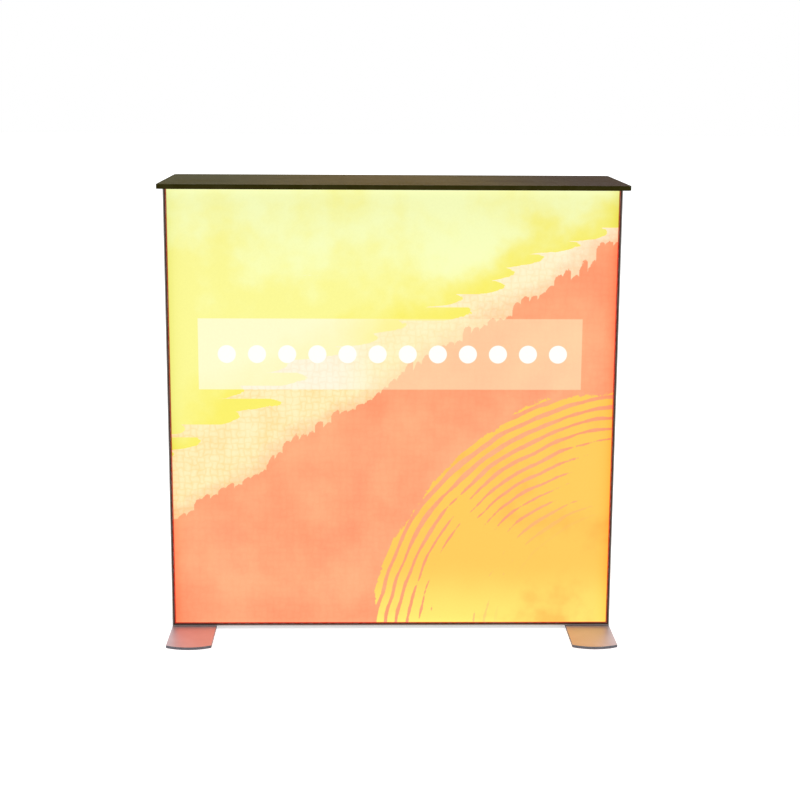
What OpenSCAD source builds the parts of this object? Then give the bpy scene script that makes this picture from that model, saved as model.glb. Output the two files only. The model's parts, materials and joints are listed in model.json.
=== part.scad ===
/* [Frame] */
// Width of the lit frame, over the two side profiles
frame_w = 1000; // [800:10:1200]
// Height of the lit frame, over the top and bottom profiles
frame_h = 1000; // [800:10:1200]
// Depth of the frame, front lip to back lip
frame_d = 120; // [110:5:150]
// Thickness of the profile's outer wall and lips
lip_t = 2; // [1.6:0.2:2.4]
// Width of the groove that holds the silicone edge
groove_w = 3.4; // [3.2:0.1:4]
// Depth of the groove
groove_depth = 15; // [14:1:18]

/* [Counter] */
// Width of the counter board
counter_w = 1000; // [800:10:1240]
// Depth of the counter board, front to back
counter_d = 350; // [300:10:450]
// Thickness of the counter board
counter_t = 10; // [8:1:19]

/* [Feet] */
// Length of a foot plate, front to back
foot_len = 400; // [300:10:500]
// Width of a foot plate
foot_w = 100; // [80:5:140]
// Thickness of a foot plate
foot_t = 6; // [5:1:8]
// Thickness of the rubber pads under a foot plate
pad_t = 1.5; // [1:0.5:3]

/* [Light] */
// Number of lensed modules on each light bar
led_count = 15; // [9:2:17]
// Length of a light bar
led_bar_len = 900; // [700:10:900]

/* [Hidden] */
$fn = 48;

// Heights above the floor
glide_gap = 1;                             // foot plate to frame
foot_top = pad_t + foot_t;
frame_z = foot_top + glide_gap;            // underside of the frame
frame_top = frame_z + frame_h;             // underside of the counter

// Profile section, measured inwards from its outer face
web_t = 1.8;
recess_t = 3;                              // shallow channel along the outer face
recess_half = 28;
chamber_half = 33;
chamber_floor = lip_t + recess_t;
chamber_top = 16.2;
profile_h = chamber_top + web_t;           // 18
inner_lip = lip_t + groove_w;              // outer side of the groove's inner wall
lip_setback = 0.8;                         // inner wall stands back from the front face
mitre_gap = 0.15;

// Corner connectors and their snap buttons
tongue_gap = 0.3;
tongue_len = 78;
tongue_half = chamber_half - tongue_gap;
tongue_in = chamber_floor + tongue_gap;
tongue_out = chamber_top - tongue_gap;
button_at = 45;                            // from the corner, along the side profile
button_r = 5;
button_flange_r = 6.5;
button_flange_t = 2;
button_face = 1.3;                         // head stands this far inside the outer face
button_seat = chamber_floor + 0.3;         // outer side of the flange
button_pocket = 14.4;                      // floor of the spring's pocket
spring_wire_r = 0.4;
spring_turns = 3.5;
corner_screw_at = 30;                      // from the corner, along the top or bottom profile
corner_screw_y = 20;
corner_screw_r = 2;

// Graphic and its silicone edge
fabric_t = 0.4;
fabric_half_d = frame_d / 2 - 0.1;         // outer face of the fabric
fabric_edge = inner_lip - 0.2;             // fabric turns into the groove here
keder_edge = lip_t + 0.8;
keder_depth = 13;
tab_x = 40;                                // from the side, along the bottom
tab_w = 18;
tab_l = 9;
tab_in = 3;                                // tucked in behind the front lip

// Counter
counter_r = 8;
band_t = 1.2;
peg_x = 350;
peg_y = 18;
peg_r = 5;
peg_len = 15;
peg_plate_w = 80;
peg_plate_d = 100;
peg_plate_t = 3;
plate_screw_x = 30;
plate_screw_y = 40;
plate_screw_r = 1.75;

// Feet
foot_x = frame_w / 2 - foot_w / 2;
foot_end_r = 100;                          // plan radius of the curved ends
bolt_r = 4;
bolt_head_r = 8;
washer_r = 25;
stop_at = 18;                              // stop pin, behind the pivot bolt
stop_r = 2.5;
stop_depth = 4;                            // depth of its curved slot in the foot
pad_r = 11;
pad_x = 34;
pad_y = 150;

// Light bars
led_bar_w = 24;
led_bar_t = 1.6;
led_pitch = led_bar_len / led_count;
lens_l = 34;
lens_w = 20;
lens_h = 8;
lens_r = 12;
plug_l = 14;
plug_h = 8;
bar_screw_r = 1.5;
bar_screw_x = [
    for (s = [-1, 1], n = [floor(led_count / 2) - 0.5, floor(led_count / 6) + 0.5])
        s * n * led_pitch
];

// Power supply, upright on the right-hand side profile
psu_t = 30;
psu_w = 62;
psu_len = 240;
psu_z = frame_z + 190;                     // lower end of its case
psu_x = frame_w / 2 - profile_h - psu_t / 2;
psu_wall = 1.6;
psu_cap = 12;
psu_ear = 16;
psu_ear_t = 3;
psu_screw_r = 2;
psu_screw_z = [psu_z - psu_cap - psu_ear / 2, psu_z + psu_len + psu_cap + psu_ear / 2];

// Mains inlet with fuse drawer and rocker, in the right-hand side profile
inlet_z = frame_z + 130;
inlet_x = frame_w / 2 - recess_t;          // plane that the flange seats on
inlet_half_w = 13.4;
inlet_half_h = 23.6;
inlet_depth = 28;
socket_z = -12.2;                          // centre of the socket, from inlet_z
socket_half_w = 12.2;
socket_half_h = 8.3;
socket_depth = 16;
drawer_z = 1.5;
drawer_half_w = 11;
drawer_half_h = 3.4;
rocker_z = 14.5;
rocker_half_w = 10;
rocker_tilt = 8;
rocker_pivot_x = -1.5;
rocker_pin_r = 1.2;
tail_len = 6;                              // contact blades' tails behind the housing
boot_len = 13;

// Internal leads: hand-set points, joined by a smooth curve
lead_r = 2;
mains_r = 3.2;
mains_route = [[463, 0, 133], [463, 0, 143], [464, 0, 158], [466, 0, 174], [467, 0, 186.5]];
top_route = [[467, 0, 450.5], [467, 0, 470], [477, 0, 500], [479, 0, 560], [479, 0, 700],
             [479, 0, 850], [479, 0, 960], [476, 0, 978], [465, 0, 986.5]];
bottom_route = [[467, 22, 186.5], [470, 23, 170], [478, 24, 150], [479, 24, 120], [479, 24, 80],
                [478, 16, 50], [474, 5, 36], [465, 0, 30.5]];

// ---- Helpers ----

function unit(v) = v / norm(v);

function catmull(a, b, c, d, t) =
    0.5 * (2 * b + (c - a) * t + (2 * a - 5 * b + 4 * c - d) * t * t + (3 * b - a - 3 * c + d) * t * t * t);

// Smooth curve through the points, with n steps in each stretch
function smooth(pts, n) = [
    for (i = [0 : len(pts) - 2], k = [0 : n - 1])
        catmull(pts[max(i - 1, 0)], pts[i], pts[i + 1], pts[min(i + 2, len(pts) - 1)], k / n),
    pts[len(pts) - 1]
];

// Round tube along a path. No stretch of the path may run along side.
module tube(path, r, sides, side) {
    n = len(path);
    rings = [
        for (i = [0 : n - 1])
            let (t = unit(path[min(i + 1, n - 1)] - path[max(i - 1, 0)]),
                 a = unit(cross(side, t)),
                 b = cross(t, a))
            for (k = [0 : sides - 1])
                path[i] + r * (cos(360 * k / sides) * a + sin(360 * k / sides) * b)
    ];
    skin = [
        for (i = [0 : n - 2], k = [0 : sides - 1])
            let (p = i * sides + k, q = i * sides + (k + 1) % sides)
            for (f = [[p, p + sides, q + sides], [p, q + sides, q]]) f
    ];
    first = [for (k = [0 : sides - 1]) k];
    last = [for (k = [sides - 1 : -1 : 0]) (n - 1) * sides + k];
    polyhedron(rings, concat([first], [last], skin));
}

// Box from its low and high corners
module box(lo, hi) translate(lo) cube(hi - lo);

// Countersunk screw: head's face at z = 0, shank running up
module countersunk(shank_r, head_r, len) {
    cylinder(h = head_r - shank_r, r1 = head_r, r2 = shank_r);
    cylinder(h = len, r = shank_r);
}

module rounded_rect(w, d, r) {
    square([w - 2 * r, d], center = true);
    square([w, d - 2 * r], center = true);
    for (x = [-1, 1], y = [-1, 1]) translate([x * (w / 2 - r), y * (d / 2 - r)]) circle(r);
}

// Corner frame: origin at the outer corner, +X and +Z running into the light box
module at_corner(sx, sz)
    translate([sx * frame_w / 2, 0, frame_z + (1 + sz) * frame_h / 2])
        mirror([sx > 0 ? 1 : 0, 0, 0])
            mirror([0, 0, sz > 0 ? 1 : 0])
                children();

// ---- Frame ----

// Extrusion's section: depth along x, inwards along y
module profile_section() {
    half = frame_d / 2;
    difference() {
        union() {
            translate([-half, 0]) square([frame_d, lip_t]);
            translate([-chamber_half - web_t, 0])
                square([2 * (chamber_half + web_t), profile_h]);
            for (s = [-1, 1]) {
                translate([s * (half - groove_depth - web_t / 2) - web_t / 2, 0])
                    square([web_t, inner_lip + web_t]);
                translate([s > 0 ? chamber_half : lip_setback - half, inner_lip])
                    square([half - lip_setback - chamber_half, web_t]);
            }
        }
        translate([-chamber_half, chamber_floor])
            square([2 * chamber_half, chamber_top - chamber_floor]);
        translate([-recess_half, -1]) square([2 * recess_half, recess_t + 1]);
    }
}

// Mitred length of profile along X: outer face down at z = 0
module profile(length) {
    end = length / 2 - mitre_gap;
    intersection() {
        rotate([90, 0, 90])
            linear_extrude(height = length, center = true) profile_section();
        rotate([90, 0, 0])
            linear_extrude(height = frame_d + 2, center = true)
                polygon([[-end, 0], [end, 0], [end - profile_h, profile_h], [profile_h - end, profile_h]]);
    }
}

// Holes for the screws that fix a corner connector, in the corner frame
module corner_screw_holes() {
    for (y = [-1, 1])
        translate([corner_screw_at, y * corner_screw_y, recess_t])
            countersunk(corner_screw_r + 0.05, 2 * corner_screw_r + 0.05, 10);
}

module top_profile() color("silver") difference() {
    translate([0, 0, frame_top]) rotate([180, 0, 0]) profile(frame_w);
    for (x = [-peg_x, peg_x], y = [-peg_y, peg_y])
        translate([x, y, frame_top - 10]) cylinder(h = 20, r = peg_r + 0.3);
    for (s = [-1, 1]) at_corner(s, 1) corner_screw_holes();
    bar_screw_holes(1);
}

module bottom_profile() color("silver") difference() {
    translate([0, 0, frame_z]) profile(frame_w);
    for (s = [-1, 1]) {
        translate([s * foot_x, 0, frame_z - 5]) cylinder(h = 12, r = bolt_r + 0.3);
        translate([s * foot_x, stop_at, frame_z - 5]) cylinder(h = 12, r = stop_r + 0.1);
        at_corner(s, -1) corner_screw_holes();
    }
    bar_screw_holes(-1);
}

module side_profile(s) difference() {
    translate([s * frame_w / 2, 0, frame_z + frame_h / 2])
        rotate([0, -s * 90, 0]) profile(frame_h);
    for (sz = [-1, 1]) at_corner(s, sz)
        translate([-1, 0, button_at]) rotate([0, 90, 0]) cylinder(h = 8, r = button_r + 0.3);
}

module left_profile() color("silver") side_profile(-1);

module right_profile() color("silver") difference() {
    side_profile(1);
    translate([frame_w / 2 - profile_h / 2, 0, inlet_z])
        cube([2 * profile_h, 2 * inlet_half_w + 0.4, 2 * inlet_half_h + 0.4], center = true);
    for (z = psu_screw_z) translate([frame_w / 2 - profile_h - 1, 0, z]) rotate([0, 90, 0])
        cylinder(h = 5, r = psu_screw_r);
}

// L-shaped moulded connector, with pockets on its inner faces
module corner_connector(sx, sz) color("dimgray") at_corner(sx, sz) difference() {
    union() {
        box([tongue_in, -tongue_half, tongue_in], [tongue_len, tongue_half, tongue_out]);
        box([tongue_in, -tongue_half, tongue_in], [tongue_out, tongue_half, tongue_len]);
    }
    translate([tongue_in - 1, 0, button_at]) rotate([0, 90, 0])
        cylinder(h = button_pocket - tongue_in + 1, r = button_flange_r + 0.3);
    for (s = [-1, 1]) {
        translate([button_pocket - 3.4, s * 22 - 7, 26]) cube([10, 14, 44]);
        translate([38, s * 24 - 4, button_pocket - 3.4]) cube([34, 8, 10]);
    }
    for (y = [-1, 1]) translate([corner_screw_at, y * corner_screw_y, 0])
        cylinder(h = 13.6, r = corner_screw_r + 0.05);
    if (sz < 0) translate([foot_w / 2, 0, 0]) {
        cylinder(h = 20, r = bolt_r + 0.05);
        translate([0, stop_at, 0]) cylinder(h = 12, r = stop_r);
    }
}

module corner_screws() color("gainsboro")
    for (sx = [-1, 1], sz = [-1, 1], y = [-1, 1]) at_corner(sx, sz)
        translate([corner_screw_at, y * corner_screw_y, recess_t])
            countersunk(corner_screw_r, 2 * corner_screw_r, 10);

module snap_button(sx, sz) color("gray") at_corner(sx, sz)
    translate([0, 0, button_at]) rotate([0, 90, 0]) {
        translate([0, 0, button_face]) cylinder(h = 0.6, r1 = button_r - 0.6, r2 = button_r);
        translate([0, 0, button_face + 0.6])
            cylinder(h = button_seat - button_face - 0.6, r = button_r);
        translate([0, 0, button_seat]) cylinder(h = button_flange_t, r = button_flange_r);
    }

module button_spring(sx, sz) color("lightsteelblue") {
    coil_r = button_flange_r - 1.5;
    start = button_seat + button_flange_t + spring_wire_r + 0.1;
    rise = button_pocket - spring_wire_r - 0.1 - start;
    steps = spring_turns * 12;
    at_corner(sx, sz) tube([
        for (i = [0 : steps])
            [start + rise * i / steps,
             coil_r * cos(30 * i),
             button_at + coil_r * sin(30 * i)]
    ], spring_wire_r, 6, [1, 0, 0]);
}

// ---- Light ----

// Inner face of the bottom (-1) or top (1) profile, with +Z running into the box
module on_bar(sz)
    translate([0, 0, frame_z + frame_h / 2])
        mirror([0, 0, sz > 0 ? 1 : 0])
            translate([0, 0, profile_h - frame_h / 2])
                children();

module bar_screw_holes(sz) on_bar(sz)
    for (x = bar_screw_x) translate([x, 0, -web_t - 1])
        cylinder(h = web_t + led_bar_t + 2, r = bar_screw_r + 0.05);

module led_bar(sz) color("white") difference() {
    on_bar(sz) translate([-led_bar_len / 2, -led_bar_w / 2, 0])
        cube([led_bar_len, led_bar_w, led_bar_t]);
    bar_screw_holes(sz);
}

// Rod-shaped lens with flat ends, bulging away from the bar
module led_lenses(sz) color("lightyellow") on_bar(sz)
    for (i = [0 : led_count - 1])
        translate([(i - (led_count - 1) / 2) * led_pitch, 0, led_bar_t])
            intersection() {
                translate([-lens_l / 2, -lens_w / 2, 0]) cube([lens_l, lens_w, lens_h]);
                translate([-lens_l / 2 - 1, 0, lens_h - lens_r]) rotate([0, 90, 0])
                    cylinder(h = lens_l + 2, r = lens_r);
            }

module led_bar_screws() color("gainsboro")
    for (sz = [-1, 1], x = bar_screw_x) on_bar(sz) translate([x, 0, led_bar_t]) {
        cylinder(h = 1.6, r = 2.8);
        translate([0, 0, -5]) cylinder(h = 5, r = bar_screw_r);
    }

module led_plugs() color("ivory")
    for (sz = [-1, 1]) on_bar(sz)
        translate([led_bar_len / 2 + 1, -6, 0]) difference() {
            cube([plug_l, 12, plug_h]);
            for (y = [2, 7]) translate([-1, y, 2.5]) cube([8, 3, 3]);
        }

// ---- Power supply ----

module psu_case() color("lightgray") translate([psu_x, 0, psu_z]) difference() {
    linear_extrude(height = psu_len) difference() {
        square([psu_t, psu_w], center = true);
        square([psu_t - 2 * psu_wall, psu_w - 2 * psu_wall], center = true);
        for (y = [-24 : 8 : 24]) translate([-psu_t / 2 - 1, y - 1.5]) square([1.8, 3]);
    }
}

// Moulded end cap with a fixing ear, its open side on the case at z = 0
module psu_end_cap() difference() {
    union() {
        translate([-psu_t / 2, -psu_w / 2, -psu_cap]) cube([psu_t, psu_w, psu_cap]);
        translate([psu_t / 2 - psu_ear_t, -14, -psu_cap - psu_ear])
            cube([psu_ear_t, 28, psu_ear + 1]);
    }
    translate([psu_t / 2 - 5, 0, -psu_cap - psu_ear / 2]) rotate([0, 90, 0])
        cylinder(h = 6, r = psu_screw_r + 0.2);
}

module psu_cap_lower() color("black") translate([psu_x, 0, psu_z]) psu_end_cap();

module psu_cap_upper() color("black")
    translate([psu_x, 0, psu_z + psu_len]) mirror([0, 0, 1]) psu_end_cap();

// Circuit board with its transformer, heat sink and capacitors
module psu_board() color("darkgreen") translate([psu_x, 0, psu_z]) {
    translate([psu_t / 2 - psu_wall - 5, -26, 6]) cube([1.6, 52, psu_len - 12]);
    translate([psu_t / 2 - psu_wall - 5, 0, 0]) {
        translate([-18, -16, 96]) cube([18, 32, 38]);
        translate([-16, -24, 150]) cube([16, 4, 60]);
        for (z = [34, 60]) translate([0, 8, z]) rotate([0, -90, 0]) cylinder(h = 17, r = 9);
        for (z = [176, 204]) translate([0, 10, z]) rotate([0, -90, 0]) cylinder(h = 15, r = 6);
    }
}

module psu_screws() color("gainsboro")
    for (z = psu_screw_z)
        translate([psu_x + psu_t / 2 - psu_ear_t, 0, z]) rotate([0, -90, 0]) {
            cylinder(h = 2.4, r = 4);
            translate([0, 0, -7]) cylinder(h = 7, r = psu_screw_r);
        }

// ---- Mains inlet ----

module at_inlet() translate([inlet_x, 0, inlet_z]) children();

// Outline of the socket, with its two keyed corners
module socket_outline() {
    key = 4;
    polygon([
        [-socket_half_w, -socket_half_h], [socket_half_w, -socket_half_h],
        [socket_half_w, socket_half_h - key], [socket_half_w - key, socket_half_h],
        [key - socket_half_w, socket_half_h], [-socket_half_w, socket_half_h - key]
    ]);
}

// Contact blades: two line blades low, the earth blade high
module blades() for (b = [[-7, -2.4], [7, -2.4], [0, 2.4]])
    box([-inlet_depth - tail_len, b[0] - 1, socket_z + b[1] - 2],
        [-1, b[0] + 1, socket_z + b[1] + 2]);

module inlet_housing() color("black") at_inlet() difference() {
    union() {
        box([0, -15.5, -27], [2, 15.5, 27]);
        box([-inlet_depth, -inlet_half_w, -inlet_half_h], [0, inlet_half_w, inlet_half_h]);
    }
    translate([-socket_depth, 0, socket_z]) rotate([90, 0, 90])
        linear_extrude(height = socket_depth + 3) socket_outline();
    box([-22, -drawer_half_w - 0.2, drawer_z - drawer_half_h - 0.2],
        [3, drawer_half_w + 0.2, drawer_z + drawer_half_h + 0.2]);
    box([-10, -rocker_half_w - 0.3, rocker_z - 7.2], [3, rocker_half_w + 0.3, rocker_z + 7.2]);
    translate([rocker_pivot_x, 0, rocker_z]) rotate([90, 0, 0])
        cylinder(h = 2 * rocker_half_w + 3.2, r = rocker_pin_r + 0.1, center = true);
    blades();
}

module inlet_pins() color("goldenrod") at_inlet() blades();

// Insulating cover over the blades' tails
module inlet_boot() color("dimgray") at_inlet() translate([-inlet_depth, 0, socket_z])
    difference() {
        box([-boot_len, -12, -9.5], [0, 12, 9.5]);
        box([1.6 - boot_len, -10.4, -7.9], [1, 10.4, 7.9]);
        translate([-tail_len, 0, 6]) cylinder(h = 6, r = mains_r + 0.1);
    }

// Two-faced rocker on a cross pin, resting on
module rocker_switch() color("firebrick") at_inlet()
    translate([rocker_pivot_x, 0, rocker_z]) rotate([0, rocker_tilt, 0]) {
        rotate([90, 0, 0]) linear_extrude(height = 2 * rocker_half_w, center = true)
            polygon([[-4, -5], [3.4, -6.4], [2.2, 0], [3.4, 6.4], [-4, 5]]);
        rotate([90, 0, 0])
            cylinder(h = 2 * rocker_half_w + 2.8, r = rocker_pin_r, center = true);
    }

module fuse_drawer() color("black") at_inlet() translate([0, 0, drawer_z]) difference() {
    box([-18, -drawer_half_w, -drawer_half_h], [2, drawer_half_w, drawer_half_h]);
    box([-16, -10.2, -2.6], [-10, 10.2, drawer_half_h + 1]);
    box([0.8, -4, -1.2], [3, 4, 1.2]);
}

// Glass cartridge with its two end caps
module fuse() color("lightcyan") at_inlet() translate([-13, 0, drawer_z]) rotate([90, 0, 0]) {
    cylinder(h = 20, r = 2.3, center = true);
    for (s = [-1, 1]) translate([0, 0, s * 7.5]) cylinder(h = 5, r = 2.5, center = true);
}

// ---- Leads ----

module mains_lead() color("black") tube(smooth(mains_route, 5), mains_r, 8, [0, 1, 0]);

module led_lead_top() color("black") tube(smooth(top_route, 5), lead_r, 8, [0, 1, 0]);

module led_lead_bottom() color("black") tube(smooth(bottom_route, 5), lead_r, 8, [0, 1, 0]);

// Saddle over a lead on the inner face of the right-hand profile
module lead_clips() color("white") {
    face = frame_w / 2 - profile_h;
    for (at = [[0, 600], [0, 730], [0, 860], [24, 100]])
        translate([face - 6, at[0] - 7, at[1] - 5]) difference() {
            cube([6, 14, 10]);
            translate([0.9, 4.7, -1]) cube([6, 4.6, 12]);
        }
}

// ---- Graphics ----

// Children are drawn for the front; the back is their mirror image
module facing(s) mirror([0, s > 0 ? 1 : 0, 0]) children();

module graphic(s) color(s < 0 ? "khaki" : "lightsalmon") facing(s)
    box([fabric_edge - frame_w / 2, -fabric_half_d, frame_z + fabric_edge],
        [frame_w / 2 - fabric_edge, fabric_t - fabric_half_d, frame_top - fabric_edge]);

// Silicone edge with the fabric hem sewn over its inner side
module keder(s) color("whitesmoke") facing(s) difference() {
    box([keder_edge - frame_w / 2, fabric_t - fabric_half_d, frame_z + keder_edge],
        [frame_w / 2 - keder_edge, keder_depth - fabric_half_d, frame_top - keder_edge]);
    box([fabric_edge - frame_w / 2, -frame_d, frame_z + fabric_edge],
        [frame_w / 2 - fabric_edge, 0, frame_top - fabric_edge]);
}

// Fabric tab tucked into the groove at a lower corner, beside the silicone
module pull_tab(s) color("white") facing(s)
    box([frame_w / 2 - tab_x - tab_w, tab_in - frame_d / 2, frame_z + keder_edge - 0.5],
        [frame_w / 2 - tab_x, tab_in + tab_l - frame_d / 2, frame_z + keder_edge]);

// ---- Counter ----

module counter_board() color("#2b2620") translate([0, 0, frame_top]) difference() {
    linear_extrude(height = counter_t)
        rounded_rect(counter_w - 2 * band_t, counter_d - 2 * band_t, counter_r - band_t);
    for (s = [-1, 1]) translate([s * peg_x, 0, 0]) {
        translate([-peg_plate_w / 2, -peg_plate_d / 2, -1])
            cube([peg_plate_w, peg_plate_d, peg_plate_t + 1]);
        for (x = [-1, 1], y = [-1, 1]) translate([x * plate_screw_x, y * plate_screw_y, 0])
            cylinder(h = 8.4, r = plate_screw_r + 0.05);
    }
}

module counter_edge_band() color("#15120f") translate([0, 0, frame_top])
    linear_extrude(height = counter_t) difference() {
        rounded_rect(counter_w, counter_d, counter_r);
        rounded_rect(counter_w - 2 * band_t, counter_d - 2 * band_t, counter_r - band_t);
    }

module peg_plates() color("silver")
    for (s = [-1, 1]) translate([s * peg_x, 0, frame_top]) difference() {
        translate([-peg_plate_w / 2, -peg_plate_d / 2, 0])
            cube([peg_plate_w, peg_plate_d, peg_plate_t]);
        for (x = [-1, 1], y = [-1, 1]) translate([x * plate_screw_x, y * plate_screw_y, 0])
            countersunk(plate_screw_r + 0.05, 2 * plate_screw_r + 0.05, peg_plate_t + 1);
        for (y = [-1, 1]) translate([0, y * peg_y, -1]) cylinder(h = peg_plate_t + 2, r = peg_r);
    }

module counter_pegs() color("gainsboro")
    for (x = [-peg_x, peg_x], y = [-peg_y, peg_y]) translate([x, y, frame_top - peg_len]) {
        cylinder(h = 2, r1 = peg_r - 1.5, r2 = peg_r);
        translate([0, 0, 2]) cylinder(h = peg_len - 2 + peg_plate_t, r = peg_r);
    }

module counter_screws() color("gainsboro")
    for (s = [-1, 1], x = [-1, 1], y = [-1, 1])
        translate([s * peg_x + x * plate_screw_x, y * plate_screw_y, frame_top])
            countersunk(plate_screw_r, 2 * plate_screw_r, 8);

// ---- Feet ----

// Quarter-turn slot around the pivot, for the stop pin behind it
module stop_slot(s) mirror([s > 0 ? 1 : 0, 0, 0]) {
    rotate_extrude(angle = 90)
        translate([stop_at - stop_r - 0.3, 0]) square([2 * stop_r + 0.6, stop_depth + 1]);
    for (a = [0, 90]) rotate([0, 0, a]) translate([stop_at, 0, 0])
        cylinder(h = stop_depth + 1, r = stop_r + 0.3);
}

// Plate with curved front and back ends, turning on a countersunk bolt
module foot_plate(s) color("darkgray") translate([s * foot_x, 0, pad_t]) difference() {
    intersection() {
        translate([-foot_w / 2, -foot_len / 2, 0]) cube([foot_w, foot_len, foot_t]);
        union() {
            for (e = [-1, 1]) translate([0, e * (foot_len / 2 - foot_end_r), 0])
                cylinder(h = foot_t, r = foot_end_r, $fn = 96);
            translate([-foot_w, foot_end_r - foot_len / 2, 0])
                cube([2 * foot_w, foot_len - 2 * foot_end_r, foot_t]);
        }
    }
    translate([0, 0, -0.1]) cylinder(h = foot_t + 1, r = bolt_r + 0.1);
    translate([0, 0, -0.1])
        cylinder(h = bolt_head_r - bolt_r + 0.4, r1 = bolt_head_r + 0.4, r2 = bolt_r);
    translate([0, 0, foot_t - stop_depth]) stop_slot(s);
}

module foot_pads(s) color("#222222")
    for (x = [-pad_x, pad_x], y = [-pad_y, pad_y])
        translate([s * foot_x + x, y, 0]) cylinder(h = pad_t, r = pad_r);

module foot_bolt(s) color("gainsboro") translate([s * foot_x, 0, pad_t + 0.2])
    difference() {
        countersunk(bolt_r, bolt_head_r, frame_z + 14 - pad_t);
        translate([0, 0, -0.1]) cylinder(h = 2.6, r = 2.9, $fn = 6);
    }

module foot_washer(s) color("whitesmoke") translate([s * foot_x, 0, foot_top + 0.05])
    difference() {
        cylinder(h = glide_gap + recess_t - 0.05, r = washer_r);
        translate([0, 0, -1]) cylinder(h = 8, r = bolt_r + 0.1);
        translate([0, stop_at, -1]) cylinder(h = 8, r = stop_r);
    }

module foot_stop_pins() color("gainsboro") for (s = [-1, 1])
    translate([s * foot_x, stop_at, foot_top - stop_depth + 0.5])
        cylinder(h = frame_z + 12 - (foot_top - stop_depth + 0.5), r = stop_r);

// ---- Nodes ----

top_profile();
bottom_profile();
left_profile();
right_profile();
corner_connector(-1, -1);  // corner_connector_bottom_left
corner_connector(1, -1);  // corner_connector_bottom_right
corner_connector(-1, 1);  // corner_connector_top_left
corner_connector(1, 1);  // corner_connector_top_right
corner_screws();
snap_button(-1, -1);  // snap_button_bottom_left
snap_button(1, -1);  // snap_button_bottom_right
snap_button(-1, 1);  // snap_button_top_left
snap_button(1, 1);  // snap_button_top_right
button_spring(-1, -1);  // button_spring_bottom_left
button_spring(1, -1);  // button_spring_bottom_right
button_spring(-1, 1);  // button_spring_top_left
button_spring(1, 1);  // button_spring_top_right
led_bar(1);  // led_bar_top
led_bar(-1);  // led_bar_bottom
led_lenses(1);  // led_lenses_top
led_lenses(-1);  // led_lenses_bottom
led_bar_screws();
led_plugs();
psu_case();
psu_cap_lower();
psu_cap_upper();
psu_board();
psu_screws();
inlet_housing();
inlet_pins();
inlet_boot();
rocker_switch();
fuse_drawer();
fuse();
mains_lead();
led_lead_top();
led_lead_bottom();
lead_clips();
graphic(-1);  // front_graphic
keder(-1);  // front_keder
pull_tab(-1);  // front_pull_tab
graphic(1);  // back_graphic
keder(1);  // back_keder
pull_tab(1);  // back_pull_tab
counter_board();
counter_edge_band();
peg_plates();
counter_pegs();
counter_screws();
foot_plate(-1);  // foot_plate_left
foot_plate(1);  // foot_plate_right
foot_pads(-1);  // foot_pads_left
foot_pads(1);  // foot_pads_right
foot_bolt(-1);  // foot_bolt_left
foot_bolt(1);  // foot_bolt_right
foot_washer(-1);  // foot_washer_left
foot_washer(1);  // foot_washer_right
foot_stop_pins();
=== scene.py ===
"""Looks for the lit fabric counter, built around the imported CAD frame."""
import json
import math

import bpy
from mathutils import Matrix, Vector, noise as mnoise


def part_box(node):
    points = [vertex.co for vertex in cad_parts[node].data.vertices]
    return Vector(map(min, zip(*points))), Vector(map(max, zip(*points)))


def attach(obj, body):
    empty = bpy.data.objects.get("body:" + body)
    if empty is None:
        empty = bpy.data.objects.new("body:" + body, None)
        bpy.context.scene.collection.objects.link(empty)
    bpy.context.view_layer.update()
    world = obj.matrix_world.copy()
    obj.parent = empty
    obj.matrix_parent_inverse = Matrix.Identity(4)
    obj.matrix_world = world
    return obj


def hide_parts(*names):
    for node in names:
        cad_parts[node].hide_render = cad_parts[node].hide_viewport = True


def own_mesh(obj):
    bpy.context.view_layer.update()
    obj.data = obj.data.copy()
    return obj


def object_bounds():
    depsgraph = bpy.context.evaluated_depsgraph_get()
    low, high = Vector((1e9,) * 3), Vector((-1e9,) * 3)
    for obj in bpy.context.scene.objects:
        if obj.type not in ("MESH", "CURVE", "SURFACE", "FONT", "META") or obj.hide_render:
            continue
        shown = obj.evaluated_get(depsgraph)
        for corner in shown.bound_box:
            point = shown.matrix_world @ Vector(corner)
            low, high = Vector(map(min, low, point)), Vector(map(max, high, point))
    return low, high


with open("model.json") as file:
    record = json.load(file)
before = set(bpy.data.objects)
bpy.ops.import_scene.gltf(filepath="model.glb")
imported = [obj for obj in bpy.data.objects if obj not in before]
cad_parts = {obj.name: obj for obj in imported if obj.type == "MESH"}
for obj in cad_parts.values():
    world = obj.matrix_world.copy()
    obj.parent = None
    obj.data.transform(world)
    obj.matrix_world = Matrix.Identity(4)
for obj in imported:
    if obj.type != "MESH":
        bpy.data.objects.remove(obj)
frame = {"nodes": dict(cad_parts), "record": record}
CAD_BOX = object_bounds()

NODES = frame["nodes"]


# ---------------------------------------------------------------- places taken from the CAD

def union_box(*names):
    boxes = [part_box(n) for n in names]
    lo = Vector([min(b[0][i] for b in boxes) for i in range(3)])
    hi = Vector([max(b[1][i] for b in boxes) for i in range(3)])
    return lo, hi


FRAME_LO, FRAME_HI = union_box("left_profile", "right_profile", "top_profile", "bottom_profile")
FRAME_W = FRAME_HI.x - FRAME_LO.x
FRAME_H = FRAME_HI.z - FRAME_LO.z
FRAME_CX = (FRAME_HI.x + FRAME_LO.x) / 2
FRAME_CZ = (FRAME_HI.z + FRAME_LO.z) / 2


# ---------------------------------------------------------------- shader helpers

def lin(r, g, b):
    """A display colour, 0 to 255, as linear light."""
    def one(v):
        v /= 255.0
        return v / 12.92 if v <= 0.04045 else ((v + 0.055) / 1.055) ** 2.4
    return (one(r), one(g), one(b), 1.0)


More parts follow.
